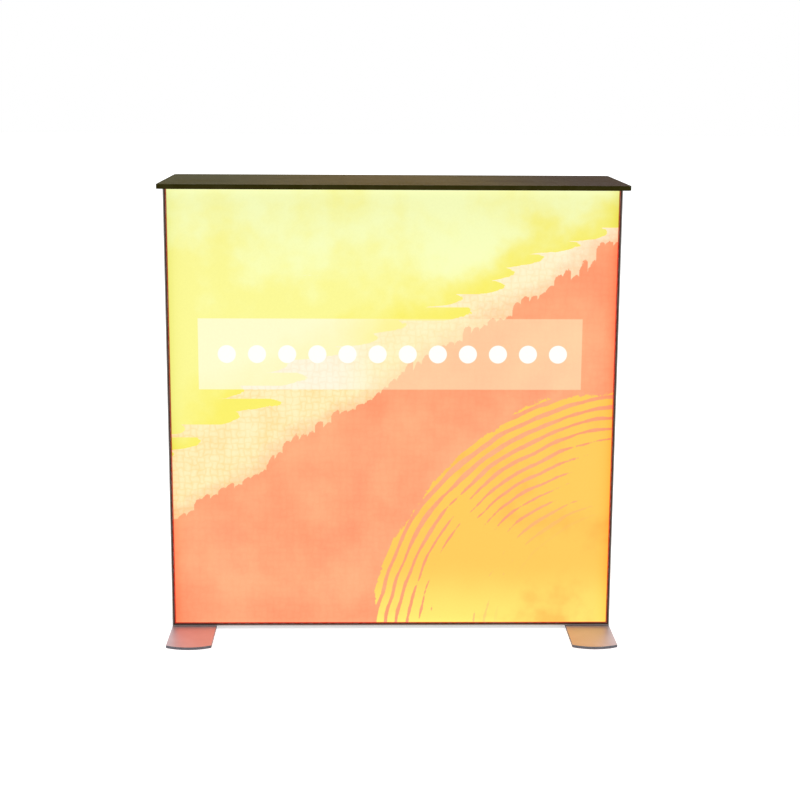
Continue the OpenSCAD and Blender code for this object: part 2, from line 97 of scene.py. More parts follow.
class Val:
    """A shader socket that can be used in sums."""

    def __init__(self, shade, socket):
        self.shade = shade
        self.socket = socket

    def __add__(self, o): return self.shade.math("ADD", self, o)
    def __radd__(self, o): return self.shade.math("ADD", o, self)
    def __sub__(self, o): return self.shade.math("SUBTRACT", self, o)
    def __rsub__(self, o): return self.shade.math("SUBTRACT", o, self)
    def __mul__(self, o): return self.shade.math("MULTIPLY", self, o)
    def __rmul__(self, o): return self.shade.math("MULTIPLY", o, self)
    def __truediv__(self, o): return self.shade.math("DIVIDE", self, o)


class Shade:
    """One material with a Principled surface, and short ways to add nodes to it."""

    def __init__(self, name):
        self.mat = bpy.data.materials.new(name)
        self.mat.use_nodes = True
        self.tree = self.mat.node_tree
        self.tree.nodes.clear()
        self.bsdf = self.tree.nodes.new("ShaderNodeBsdfPrincipled")
        out = self.tree.nodes.new("ShaderNodeOutputMaterial")
        self.tree.links.new(self.bsdf.outputs[0], out.inputs[0])
        coords = self.tree.nodes.new("ShaderNodeTexCoord")
        self.place = Val(self, coords.outputs["Object"])
        split = self.new("ShaderNodeSeparateXYZ", Vector=self.place)
        self.x, self.y, self.z = (Val(self, split.outputs[i]) for i in range(3))

    def feed(self, socket, value):
        if isinstance(value, Val):
            self.tree.links.new(value.socket, socket)
        else:
            socket.default_value = value

    def new(self, kind, props=None, **inputs):
        node = self.tree.nodes.new(kind)
        for k, v in (props or {}).items():
            setattr(node, k, v)
        for k, v in inputs.items():
            self.feed(node.inputs[k.replace("_", " ")], v)
        return node

    def math(self, op, a, b=None):
        node = self.tree.nodes.new("ShaderNodeMath")
        node.operation = op
        for i, v in enumerate((a, b)):
            if v is not None:
                self.feed(node.inputs[i], v)
        return Val(self, node.outputs[0])

    def vec(self, x, y, z):
        return Val(self, self.new("ShaderNodeCombineXYZ", X=x, Y=y, Z=z).outputs[0])

    def noise(self, vec, scale, detail=2.0, rough=0.5):
        node = self.new("ShaderNodeTexNoise", Vector=vec, Scale=scale, Detail=detail, Roughness=rough)
        return Val(self, node.outputs[0])

    def stretched(self, scale, offset):
        """The object's own coordinates, scaled then moved."""
        node = self.new("ShaderNodeMapping", {"vector_type": "POINT"}, Vector=self.place)
        node.inputs["Scale"].default_value = scale
        node.inputs["Location"].default_value = offset
        return Val(self, node.outputs[0])

    def cells(self, vec, scale, feature, metric):
        node = self.new("ShaderNodeTexVoronoi", {"feature": feature, "distance": metric},
                        Vector=vec, Scale=scale)
        return Val(self, node.outputs["Distance"])

    def ramp(self, value, low, high, to_low=0.0, to_high=1.0):
        node = self.new("ShaderNodeMapRange", {"interpolation_type": "SMOOTHSTEP", "clamp": True},
                        Value=value)
        for i, v in enumerate((low, high, to_low, to_high)):
            self.feed(node.inputs[i + 1], v)
        return Val(self, node.outputs[0])

    def mix(self, fac, a, b, blend="MIX"):
        props = {"data_type": "RGBA", "blend_type": blend, "clamp_result": False}
        node = self.new("ShaderNodeMix", props)
        self.feed(node.inputs["Factor"], fac)
        self.feed(node.inputs[6], a)
        self.feed(node.inputs[7], b)
        return Val(self, node.outputs[2])

    def both(self, *masks):
        out = masks[0]
        for m in masks[1:]:
            out = self.math("MULTIPLY", out, m)
        return out

    def either(self, *masks):
        out = masks[0]
        for m in masks[1:]:
            out = self.math("MAXIMUM", out, m)
        return out

    def bump(self, height, distance, strength):
        node = self.new("ShaderNodeBump", Strength=strength, Distance=distance, Height=height)
        self.tree.links.new(node.outputs[0], self.bsdf.inputs["Normal"])

    def set(self, **inputs):
        for k, v in inputs.items():
            self.feed(self.bsdf.inputs[k.replace("_", " ")], v)
        return self.mat


# ---------------------------------------------------------------- the lit print

# Channels over 255 are light that the camera would clip; the feet still mirror it
CREAM_LOW, CREAM_HIGH = lin(268, 223, 156), lin(270, 241, 190)
CREAM_PALE = lin(272, 254, 232)
YELLOW, YELLOW_PALE, YELLOW_DEEP = lin(250, 247, 149), lin(250, 256, 190), lin(249, 237, 92)
CORAL, SALMON, CORAL_DEEP = lin(292, 151, 108), lin(292, 178, 130), lin(288, 138, 100)
GOLD, GOLD_DEEP, GOLD_LOW = lin(288, 204, 92), lin(288, 182, 80), lin(280, 234, 116)
WHITE = lin(262, 258, 250)
VEIL, VEIL_WARM = lin(262, 256, 262), lin(262, 247, 200)
# Painted shade: the print's colour is multiplied by this dark red where the hem turns into the groove
HEM_SHADE_RED = (0.30, 0.045, 0.02, 1.0)
HEM_SHADE = 0.0086        # width of the unlit edge, from the outside of the frame
PRINT_GLOW = 0.76
CRISP = 0.001             # softness of a clean paint edge, as a share of the face
WEAVE_CELLS = 66.0        # canvas cells across the face
KNIT = 2900.0             # phase per metre of the fabric's knit
SWEEP_A, SWEEP_B, SWEEP_R = 1.05, -0.05, 0.6    # centre and radius of the gold sweep
BAND_LEFT, BAND_RIGHT, BAND_LOW, BAND_HIGH = 0.07, 0.92, 0.55, 0.71
DISCS, DISC_R, DISC_B = 12, 0.02, 0.63          # their number, radius and height up the face


class Picture:
    """Brush-paint pattern of broad colour fields with torn edges, all of it noise and formulas.

    a runs 0 to 1 across the frame and b 0 to 1 up it."""

    def __init__(self, shade, flip):
        s = self.s = shade
        self.flip = flip
        self.a = 0.5 + (s.x - FRAME_CX) * (flip / FRAME_W)
        self.b = 0.5 + (s.z - FRAME_CZ) * (1.0 / FRAME_H)
        # Slow sway, ragged fray and fine speckle that the brush edges share, each about -1 to 1
        self.sway = (self.grain(5.0, 5.0, 0.0) - 0.5) * 3.0
        self.fray = (self.grain(60.0, 60.0, 1.0, 5.0, 0.75) - 0.5) * 3.0
        self.speck = (self.grain(130.0, 130.0, 3.0, 4.0, 0.7) - 0.5) * 3.0
        self.pull = (self.grain(2.5, 60.0, 2.0, 3.0, 0.6) - 0.5) * 3.0
        self.cloud = self.grain(4.5, 4.5, 9.0, 4.0, 0.6) - 0.5

    def at(self, per_a, per_b, seed):
        """Coordinates for a texture that repeats per_a times across the face and per_b times up it."""
        ku, kv = per_a * self.flip / FRAME_W, per_b / FRAME_H
        return self.s.stretched((ku, 0.0, kv), (-ku * FRAME_CX, seed, -kv * FRAME_CZ))

    def grain(self, per_a, per_b, seed, detail=2.0, rough=0.5):
        return self.s.noise(self.at(per_a, per_b, seed), 1.0, detail, rough)

    def canvas(self):
        """Coarse plain weave: each cell shows one thread lying over the other."""
        s = self.s
        u = self.a * WEAVE_CELLS + self.grain(26.0, 26.0, 5.0) * 1.5
        v = self.b * WEAVE_CELLS + self.grain(26.0, 26.0, 7.0) * 1.5
        odd = s.math("MODULO", s.math("FLOOR", u) + s.math("FLOOR", v), 2.0)
        over_u = s.math("SINE", s.math("FRACT", u) * math.pi)
        over_v = s.math("SINE", s.math("FRACT", v) * math.pi)
        thread = over_v * odd + over_u * (1.0 - odd)
        worn = self.grain(20.0, 20.0, 8.0, 3.0, 0.6)
        return s.ramp(thread * 0.5 + worn * 1.35 + self.speck * 0.16, 0.42, 1.4)

    def brushed(self, inside, run, lanes, reach, seed):
        """Mask of a painted field: inside is above 0 in it, and each bristle lane ends at its own reach."""
        s = self.s
        number = s.math("FLOOR", run * lanes)
        part = (s.math("FRACT", run * lanes) - 0.5) * 2.0
        random = s.new("ShaderNodeTexWhiteNoise", {"noise_dimensions": "1D"}, W=number + seed)
        end = (Val(s, random.outputs[0]) - 0.5 - part * part * 0.3) * reach
        return s.ramp(inside + end + self.fray * 0.006 + self.speck * 0.003, -CRISP, CRISP)

    def cream(self, canvas):
        """Bare canvas, paler towards the top."""
        s = self.s
        tone = s.mix(canvas, CREAM_LOW, CREAM_HIGH)
        return s.mix(s.ramp(self.b, 0.6, 0.95, 0.0, 0.55), tone, CREAM_PALE)

    def coral(self, colour, canvas):
        """Field below a slanting edge, scrubbed thin ahead of it."""
        s = self.s
        inside = (self.a * 0.65 + 0.25) - self.b + self.sway * 0.045
        scrub = s.ramp(inside + self.fray * 0.03, -0.05, 0.01)
        colour = s.mix(scrub * 0.45, colour, SALMON)
        tone = s.mix(s.ramp(self.cloud + self.sway * 0.15, -0.2, 0.25), CORAL, SALMON)
        tone = s.mix(s.ramp(self.sway + self.fray * 0.15, 0.1, 0.9) * 0.6, tone, CORAL_DEEP)
        drag = s.ramp(self.pull + self.speck * 0.4, 0.95, 1.15)
        tone = s.mix(s.either(drag * 0.5, canvas * 0.05), tone, CREAM_HIGH)
        return s.mix(self.brushed(inside, self.a, 55.0, 0.02, 0.3), colour, tone)

    def gold(self, colour):
        """Round sweep out of the lower right corner, with gaps between its bristles."""
        s = self.s
        da, db = self.a - SWEEP_A, self.b - SWEEP_B
        ring = s.math("SQRT", da * da + db * db)
        inside = SWEEP_R - ring + self.sway * 0.03
        bristle = s.math("SINE", ring * 260.0 + self.sway * 3.0) + self.fray * 0.35 + self.cloud * 4.0
        dry = s.ramp(ring, 0.4, SWEEP_R, 0.0, 0.5)
        gap = s.ramp(bristle + dry, 0.9, 1.05) * s.ramp(ring, 0.3, 0.42)
        mask = s.ramp(inside + self.fray * 0.008 + self.speck * 0.004, -CRISP, CRISP)
        tone = s.mix(s.ramp(self.b + self.sway * 0.02, 0.16, 0.0), GOLD, GOLD_LOW)
        tone = s.mix(s.ramp(self.cloud - self.sway * 0.1, 0.0, 0.25) * 0.8, tone, GOLD_DEEP)
        return s.mix(mask * (1.0 - gap), colour, tone)

    def yellow(self, colour):
        """Thick field above a slanting edge, deeper along it, with flecks of light in level strokes."""
        s = self.s
        inside = self.b - (self.a * 0.5 + 0.42) + self.sway * 0.04
        tone = s.mix(s.ramp(self.b + self.cloud, 0.75, 1.05), YELLOW, YELLOW_PALE)
        tone = s.mix(s.ramp(inside + self.cloud * 0.3, 0.12, 0.0) * 0.8, tone, YELLOW_DEEP)
        fleck = s.ramp(self.pull + self.speck * 0.15, 0.75, 0.9) * s.ramp(self.b, 0.6, 0.85)
        return s.mix(self.brushed(inside, self.b, 34.0, 0.07, 0.4), colour, s.mix(fleck, tone, WHITE))

    def band(self, colour):
        """Pale translucent band with a plain row of equal discs."""
        s, a, b = self.s, self.a, self.b
        mask = s.both(s.ramp(a, BAND_LEFT, BAND_LEFT + CRISP), s.ramp(BAND_RIGHT - a, 0.0, CRISP),
                      s.ramp(b, BAND_LOW, BAND_LOW + CRISP), s.ramp(BAND_HIGH - b, 0.0, CRISP))
        colour = s.mix(mask * 0.4, colour, s.mix(s.ramp(a, 0.36, 0.5), VEIL, VEIL_WARM))
        first, last = 0.1, 0.9
        pitch = (last - first) / DISCS
        across = (s.math("FRACT", (a - first) / pitch) - 0.5) * pitch
        rise = b - DISC_B
        disc = DISC_R - s.math("SQRT", across * across + rise * rise)
        row = s.both(s.ramp(disc, -CRISP, CRISP), s.ramp(a, first, first + CRISP),
                     s.ramp(last - a, 0.0, CRISP))
        return s.mix(row, colour, WHITE)


def print_material(name, flip):
    """Printed fabric lit from behind; flip is -1 for the back, so both faces read alike."""
    s = Shade(name)
    p = Picture(s, flip)
    a, b = p.a, p.b
    canvas = p.canvas()
    colour = p.coral(p.cream(canvas), canvas)
    colour = p.band(p.yellow(p.gold(colour)))

    # Knit of the fabric and the way the light bars fill the box
    knit = s.math("SINE", s.x * KNIT) * s.math("SINE", s.z * KNIT)
    mottle = p.grain(180.0, 180.0, 12.0)
    sides = s.math("EXPONENT", a * -90.0) + s.math("EXPONENT", (1.0 - a) * -90.0)
    ends = s.math("EXPONENT", (1.0 - b) * -110.0) + s.math("EXPONENT", b * -120.0)
    lit = 0.972 + knit * 0.012 + mottle * 0.05 + ends * 0.3 - sides * 0.22
    gamma = s.new("ShaderNodeGamma", Color=colour, Gamma=1.0 + sides * 0.6)
    light = s.new("ShaderNodeCombineColor", Red=lit, Green=lit, Blue=lit)
    shown = s.mix(1.0, Val(s, gamma.outputs[0]), Val(s, light.outputs[0]), "MULTIPLY")

    # Over the frame's inner wall and in the turn of the hem no light comes through; there the print's own
    # colour is also darkened to red-brown as painted shade of the groove
    out = s.either(s.math("ABSOLUTE", s.x - FRAME_CX) - FRAME_W / 2,
                   s.math("ABSOLUTE", s.z - FRAME_CZ) - FRAME_H / 2)
    hem = s.ramp(out + mottle * 0.0006, -HEM_SHADE, -HEM_SHADE + 0.0016)
    hem_shade_colour = s.mix(1.0, colour, HEM_SHADE_RED, "MULTIPLY")
    base = s.mix(hem, s.mix(1.0, shown, (0.2, 0.2, 0.2, 1.0), "MULTIPLY"), hem_shade_colour)
    glow = s.mix(hem, shown, s.mix(1.0, colour, (0.05, 0.006, 0.002, 1.0), "MULTIPLY"))
    s.bump(knit * 0.5 + mottle, 0.00006, 0.5)
    return s.set(Base_Color=base, Emission_Color=glow, Emission_Strength=PRINT_GLOW, Roughness=0.82,
                 Sheen_Weight=0.1, Sheen_Roughness=0.5, Specular_IOR_Level=0.15)


# ---------------------------------------------------------------- other finishes

def metal(name, colour, rough, grain=(1.0, 1.0, 1.0), wear=0.06):
    """Metal with fine lines; grain stretches them, smallest along their length."""
    s = Shade(name)
    stretched = s.vec(s.x * grain[0], s.y * grain[1], s.z * grain[2])
    lines = s.noise(stretched, 900.0, 3.0, 0.6)
    cloud = s.noise(s.place, 14.0, 4.0, 0.6)
    scuff = s.ramp(s.noise(s.vec(s.x * 3.0, s.y, s.z * 1.6), 95.0, 5.0, 0.7), 0.62, 0.8)
    tone = s.mix(s.ramp(lines * 0.6 + cloud * 0.4, 0.3, 0.7), tuple(c * (1 - wear) for c in colour) + (1.0,),
                 tuple(min(1.0, c * (1 + wear)) for c in colour) + (1.0,))
    s.bump(lines * 0.7 + scuff * 0.3, 0.00003, 0.6)
    return s.set(Base_Color=tone, Metallic=1.0,
                 Roughness=rough + (lines - 0.5) * 0.14 + (cloud - 0.5) * 0.12 + scuff * 0.08)


def plastic(name, colour, rough, texture=1400.0, depth=0.00004, specular=0.4, coat=0.0):
    """Moulded plastic or rubber with a fine spark texture and slight handling marks."""
    s = Shade(name)
    spark = s.noise(s.place, texture, 2.0, 0.6)
    cloud = s.noise(s.place, 30.0, 4.0, 0.6)
    dark = tuple(c * 0.86 for c in colour) + (1.0,)
    pale = tuple(min(1.0, c * 1.12 + 0.004) for c in colour) + (1.0,)
    s.bump(spark, depth, 0.7)
    return s.set(Base_Color=s.mix(s.ramp(cloud * 0.7 + spark * 0.3, 0.3, 0.7), dark, pale),
                 Roughness=rough + (cloud - 0.5) * 0.16, Specular_IOR_Level=specular, Coat_Weight=coat)


def laminate():
    """Dark matte melamine: grain lines and fine pores, paler in the middle.

    It turns from olive at the left to brown at the right."""
    s = Shade("counter_laminate")
    grain = s.noise(s.vec(s.x * 0.12, s.y, s.z), 420.0, 4.0, 0.65)
    pores = s.ramp(s.noise(s.vec(s.x * 0.25, s.y, s.z), 900.0, 2.0, 0.5), 0.35, 0.5)
    rub = s.ramp(s.noise(s.place, 5.0, 5.0, 0.6), 0.45, 0.75)
    warm = s.ramp(s.x + (rub - 0.5) * 0.2, -0.3, 0.4)
    middle = s.ramp(s.math("ABSOLUTE", s.x) + (rub - 0.5) * 0.1, 0.4, 0.0)
    dark = s.mix(warm, (0.044, 0.038, 0.012, 1.0), (0.036, 0.020, 0.012, 1.0))
    dark = s.mix(middle, dark, (0.076, 0.050, 0.012, 1.0))
    pale = s.mix(warm, (0.078, 0.068, 0.022, 1.0), (0.064, 0.038, 0.024, 1.0))
    pale = s.mix(middle, pale, (0.128, 0.086, 0.024, 1.0))
    tone = s.mix(s.ramp(grain, 0.3, 0.72), dark, pale)
    tone = s.mix(rub * 0.25, tone, (0.092, 0.070, 0.024, 1.0))
    tone = s.mix((1.0 - pores) * 0.5, tone, (0.020, 0.017, 0.010, 1.0))
    s.bump(grain * 0.6 + pores * 0.4, 0.00008, 0.7)
    return s.set(Base_Color=tone, Roughness=0.7 + (rub - 0.5) * 0.12 + (grain - 0.5) * 0.1,
                 Specular_IOR_Level=0.018)


def lens_material():
    """Clear acrylic over a lit chip: brightest over its middle."""
    s = Shade("lens")
    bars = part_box("led_lenses_top")
    count = 15
    pitch = (bars[1].x - bars[0].x - 0.034) / (count - 1)
    off = (s.math("FRACT", (s.x - bars[0].x - 0.017) / pitch + 0.5) - 0.5) * pitch
    spot = s.math("EXPONENT", (off * off + s.y * s.y) * -22000.0)
    flute = s.math("SINE", s.x * 4200.0)
    glow = s.mix(spot, (0.75, 0.70, 0.62, 1.0), (1.0, 0.96, 0.88, 1.0))
    s.bump(flute * 0.5 + s.noise(s.place, 700.0), 0.00005, 0.5)
    return s.set(Base_Color=s.mix(spot, (0.85, 0.85, 0.82, 1.0), (1.0, 0.98, 0.9, 1.0)), Roughness=0.12,
                 Transmission_Weight=0.35, Emission_Color=glow, Emission_Strength=1.6, IOR=1.49)


def board_material(name, mask_colour, copper_colour, scale):
    """Solder mask with faint tracks and pads."""
    s = Shade(name)
    tracks = s.cells(s.place, scale, "DISTANCE_TO_EDGE", "EUCLIDEAN")
    cellsize = s.cells(s.place, scale * 2.3, "F1", "MANHATTAN")
    line = s.ramp(tracks, 0.05, 0.09)
    pads = s.ramp(cellsize, 0.12, 0.09)
    tone = s.mix(line, copper_colour, mask_colour)
    tone = s.mix(pads * 0.8, tone, (0.66, 0.64, 0.58, 1.0))
    s.bump(line * 0.5 - pads * 0.2 + s.noise(s.place, 600.0) * 0.2, 0.00006, 0.8)
    return s.set(Base_Color=tone, Roughness=0.32 + pads * 0.2, Metallic=pads * 0.6)


def fuse_material():
    """Glass barrel between two plated caps."""
    s = Shade("fuse_glass")
    lo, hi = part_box("fuse")
    mid = (lo.y + hi.y) / 2
    cap = s.ramp(s.math("ABSOLUTE", s.y - mid), (hi.y - lo.y) * 0.249, (hi.y - lo.y) * 0.251)
    wire = s.ramp(s.noise(s.vec(s.x, s.y * 0.1, s.z), 900.0), 0.6, 0.65)
    tone = s.mix(cap, s.mix(wire * 0.3, (0.82, 0.9, 0.9, 1.0), (0.5, 0.5, 0.5, 1.0)), (0.7, 0.7, 0.68, 1.0))
    return s.set(Base_Color=tone, Metallic=cap, Roughness=0.06 + cap * 0.2,
                 Transmission_Weight=(1.0 - cap) * 0.9)


def keder_shade_material():
    """Silicone strip with the print's hem sewn over it: rows of stitches on a ribbed tape. Its dark red-brown
    is the hem's print darkened by painted shade of the groove.
    """
    s = Shade("keder_silicone")
    rim_x = s.math("ABSOLUTE", s.x - FRAME_CX)
    rim_z = s.math("ABSOLUTE", s.z - FRAME_CZ)
    on_side = s.math("GREATER_THAN", rim_x, rim_z)
    run = s.z * on_side + s.x * (1.0 - on_side)
    depth = s.math("ABSOLUTE", s.y)
    row = s.ramp(0.0009 - s.math("ABSOLUTE", depth - 0.0535), 0.0, 0.0004)
    stitch = s.ramp(s.math("SINE", run * (2 * math.pi / 0.003)), -0.2, 0.3) * row
    rib = s.math("SINE", run * 5200.0)
    cloud = s.noise(s.place, 60.0, 4.0)
    # Painted shade: near-black red-brown for the hem lying in the shade of the groove
    tone = s.mix(cloud, (0.030, 0.010, 0.005, 1.0), (0.085, 0.028, 0.014, 1.0))
    tone = s.mix(stitch, tone, (0.45, 0.36, 0.28, 1.0))
    s.bump(rib * 0.3 + stitch * 0.7, 0.00012, 0.8)
    return s.set(Base_Color=tone, Roughness=0.72 + (cloud - 0.5) * 0.2, Specular_IOR_Level=0.25)


def tape_material():
    """Plain-woven tape."""
    s = Shade("tab_fabric")
    weave = s.math("SINE", s.x * 7000.0) * s.math("SINE", s.y * 7000.0)
    tone = s.mix(s.ramp(weave, -1.0, 1.0), (0.55, 0.52, 0.46, 1.0), (0.78, 0.75, 0.68, 1.0))
    s.bump(weave, 0.0001, 0.8)
    return s.set(Base_Color=tone, Roughness=0.85 + weave * 0.05, Sheen_Weight=0.2)


def foot_material():
    """Satin powder-silver plate with a pink tint and a darker upright edge, both painted reflection; the edge
    is also rougher than its faces.
    """
    s = Shade("foot_steel")
    normal = Val(s, s.new("ShaderNodeNewGeometry").outputs["Normal"])
    up = Val(s, s.new("ShaderNodeSeparateXYZ", Vector=normal).outputs[2])
    face = s.ramp(s.math("ABSOLUTE", up), 0.3, 0.8)
    fleck = s.noise(s.place, 1500.0, 2.0, 0.6)
    cloud = s.noise(s.place, 16.0, 4.0, 0.6)
    side_noise = s.noise(s.vec(s.x, s.y, s.z * 0.05), 1300.0, 2.0, 0.6)
    mottle = s.ramp(fleck * 0.5 + cloud * 0.5, 0.3, 0.7)
    # Painted reflection: the silver is tinted pink for the coral glow of the print that the plate mirrors
    tone = s.mix(mottle, (0.57, 0.48, 0.505, 1.0), (0.66, 0.565, 0.59, 1.0))
    # Painted reflection: faces that stand upright get dark grey for the darker surroundings they would mirror
    edge = s.mix(s.ramp(side_noise, 0.3, 0.7), (0.10, 0.10, 0.115, 1.0), (0.17, 0.17, 0.19, 1.0))
    s.bump(fleck * 0.6 + side_noise * (1.0 - face), 0.00003, 0.5)
    return s.set(Base_Color=s.mix(face, edge, tone), Metallic=0.9,
                 Roughness=0.48 + (cloud - 0.5) * 0.1 + (1.0 - face) * 0.2)


ALONG_X = (0.02, 1.0, 1.0)
ALONG_Y = (1.0, 0.02, 1.0)
ALONG_Z = (1.0, 1.0, 0.02)
ANODISED = (0.30, 0.285, 0.272)
FINISH = {
    "anodised_frame": metal("anodised_frame", ANODISED, 0.36, ALONG_X),
    "black_nylon": plastic("black_nylon", (0.03, 0.03, 0.032), 0.55),
    "button_steel": metal("button_steel", (0.62, 0.62, 0.63), 0.25, (0.2, 1.0, 1.0)),
    "spring_steel": metal("spring_steel", (0.5, 0.5, 0.52), 0.3),
    "zinc_steel": metal("zinc_steel", (0.66, 0.68, 0.71), 0.28, wear=0.12),
    "light_bar_board": board_material("light_bar_board", (0.86, 0.86, 0.83, 1.0),
                                      (0.72, 0.71, 0.66, 1.0), 90.0),
    "lens": lens_material(),
    "plug_nylon": plastic("plug_nylon", (0.8, 0.77, 0.68), 0.4),
    "psu_aluminium": metal("psu_aluminium", (0.66, 0.67, 0.68), 0.33, ALONG_Z),
    "black_plastic": plastic("black_plastic", (0.022, 0.022, 0.024), 0.48),
    "circuit_board": board_material("circuit_board", (0.02, 0.14, 0.05, 1.0), (0.05, 0.24, 0.10, 1.0), 220.0),
    "contact_brass": metal("contact_brass", (0.78, 0.58, 0.27), 0.3, ALONG_X),
    "rocker_red": plastic("rocker_red", (0.55, 0.025, 0.012), 0.22, 900.0, 0.00001, 0.5, 0.4),
    "fuse_glass": fuse_material(),
    "lead_pvc": plastic("lead_pvc", (0.03, 0.03, 0.032), 0.42, 700.0),
    "clip_nylon": plastic("clip_nylon", (0.8, 0.79, 0.74), 0.42),
    "keder_silicone": keder_shade_material(),
    "tab_fabric": tape_material(),
    "counter_laminate": laminate(),
    "edge_band": plastic("edge_band", (0.019, 0.016, 0.001), 0.75, 1100.0, 0.00003, 0.008),
    "plate_steel": metal("plate_steel", (0.58, 0.59, 0.61), 0.34, ALONG_X, wear=0.1),
    "foot_steel": foot_material(),
    "pad_rubber": plastic("pad_rubber", (0.03, 0.03, 0.031), 0.75, 500.0),
    "glide_nylon": plastic("glide_nylon", (0.82, 0.81, 0.77), 0.38),
    "front_print": print_material("front_print", 1.0),
    "back_print": print_material("back_print", -1.0),
}
SIDE_PROFILE = metal("anodised_frame_side", ANODISED, 0.36, ALONG_Z)

for part in frame["record"]["subparts"]:
    obj = NODES[part["node"]]
    finish = FINISH[part["material_slot"]]
    if part["node"] in ("left_profile", "right_profile"):
        finish = SIDE_PROFILE
    obj.data.materials.clear()
    obj.data.materials.append(finish)


# ---------------------------------------------------------------- fabric faces

FOLD_R = 0.0012           # radius of the turn into the groove
FLAP = 0.010              # straight part of the hem inside the groove
FABRIC_T = 0.0003
GRID = 96                 # steps across the flat of a face
PUCKER, PUCKER_PITCH = 0.00022, 0.021
SLACK = 0.0004            # slow unevenness of a stretched face
WANDER = 0.00035          # how far the sewn rim strays inwards
TAPE_T = 0.00015
KEDER_T = 0.0021
SPRING_WIRE, SPRING_TURNS = 0.0004, 3.5


def mesh_object(name, verts, faces, material, smooth=True):
    mesh = bpy.data.meshes.new(name)
    mesh.from_pydata(verts, [], faces)
    mesh.validate()
    mesh.update()
    mesh.materials.append(material)
    if smooth:
        for p in mesh.polygons:
            p.use_smooth = True
    obj = bpy.data.objects.new(name, mesh)
    bpy.context.scene.collection.objects.link(obj)
    return obj


def fabric_face(name, side, node, material, body):
    """Stretched sheet with rounded turns and flaps; side is -1 for the front, 1 for the back."""
    lo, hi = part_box(node)
    face_y = lo.y if side < 0 else hi.y
    half_w, half_h = (hi.x - lo.x) / 2, (hi.z - lo.z) / 2
    cx, cz = (hi.x + lo.x) / 2, (hi.z + lo.z) / 2
    turn = FOLD_R * math.pi / 2

    def steps(half):
        flat = half - FOLD_R
        inner = [-flat + 2 * flat * i / GRID for i in range(GRID + 1)]
        fine = [flat + turn * k / 5 for k in range(1, 6)] + [flat + turn + FLAP * k / 3 for k in range(1, 4)]
        return [-v for v in reversed(fine)] + inner + fine

    def along(t, half):
        """Distance out from the middle, depth behind the face, and whether the point is on a flap."""
        flat = half - FOLD_R
        over = abs(t) - flat
        if over <= 0:
            return t, 0.0, False
        if over <= turn + 1e-9:
            ang = over / FOLD_R
            return math.copysign(flat + FOLD_R * math.sin(ang), t), FOLD_R * (1 - math.cos(ang)), False
        return math.copysign(half, t), FOLD_R + over - turn, True

    xs, zs = steps(half_w), steps(half_h)
    index, verts = {}, []
    for j, tz in enumerate(zs):
        pz, dz, flap_z = along(tz, half_h)
        for i, tx in enumerate(xs):
            px, dx, flap_x = along(tx, half_w)
            if flap_x and flap_z:
                continue
            edge = min(half_w - abs(px), half_h - abs(pz))
            run = px if half_h - abs(pz) < half_w - abs(px) else pz
            phase = run * 2 * math.pi / PUCKER_PITCH + 3 * mnoise.noise((run * 9, side, 0))
            pucker = math.exp(-edge / 0.011) * PUCKER * math.sin(phase)
            slack = SLACK * mnoise.noise((px * 3, pz * 3, 5.0 * side)) * min(1.0, edge / 0.05)
            wander = WANDER * mnoise.noise((run * 14, 3.0 * side, 1.0)) * math.exp(-edge / 0.004)
            nx = px - math.copysign(wander, px) if abs(px) > half_w - 0.006 else px
            nz = pz - math.copysign(wander, pz) if abs(pz) > half_h - 0.006 else pz
            depth = max(dx, dz) + max(0.0, pucker + slack + 0.0003) * (0.0 if (flap_x or flap_z) else 1.0)
            index[i, j] = len(verts)
            verts.append((cx + nx, face_y - side * depth, cz + nz))
    faces = []
    for j in range(len(zs) - 1):
        for i in range(len(xs) - 1):
            quad = [(i, j), (i + 1, j), (i + 1, j + 1), (i, j + 1)]
            if all(q in index for q in quad):
                ids = [index[q] for q in quad]
                faces.append(ids if side < 0 else ids[::-1])
    obj = mesh_object(name, verts, faces, material)
    thick = obj.modifiers.new("thickness", "SOLIDIFY")
    thick.thickness = FABRIC_T
    thick.offset = -1.0
    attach(obj, body)
    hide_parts(node)
    return obj


def keder_ring(name, side, node, body):
    """Silicone edge: a strip with rounded corners swept round the four sides, mitred at each corner."""
    lo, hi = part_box(node)
    face_y = lo.y if side < 0 else hi.y
    back_y = hi.y if side < 0 else lo.y
    r = 0.0005
    depth = abs(back_y - face_y)
    section = []
    for cu, cd, start in ((KEDER_T - r, r, -90), (KEDER_T - r, depth - r, 0),
                          (r, depth - r, 90), (r, r, 180)):
        for k in range(4):
            ang = math.radians(start + 30 * k)
            section.append((cu + r * math.cos(ang), cd + r * math.sin(ang)))
    corners = [(-1, -1), (1, -1), (1, 1), (-1, 1)]
    cx, cz = (hi.x + lo.x) / 2, (hi.z + lo.z) / 2
    half_w, half_h = (hi.x - lo.x) / 2, (hi.z - lo.z) / 2
    verts, faces = [], []
    n = len(section)
    for sx, sz in corners:
        for inward, d in section:
            verts.append((cx + sx * (half_w - inward), face_y - side * d, cz + sz * (half_h - inward)))
    for c in range(4):
        for k in range(n):
            ids = [c * n + k, c * n + (k + 1) % n, ((c + 1) % 4) * n + (k + 1) % n, ((c + 1) % 4) * n + k]
            faces.append(ids if side < 0 else ids[::-1])
    obj = mesh_object(name, verts, faces, FINISH["keder_silicone"])
    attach(obj, body)
    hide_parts(node)
    return obj


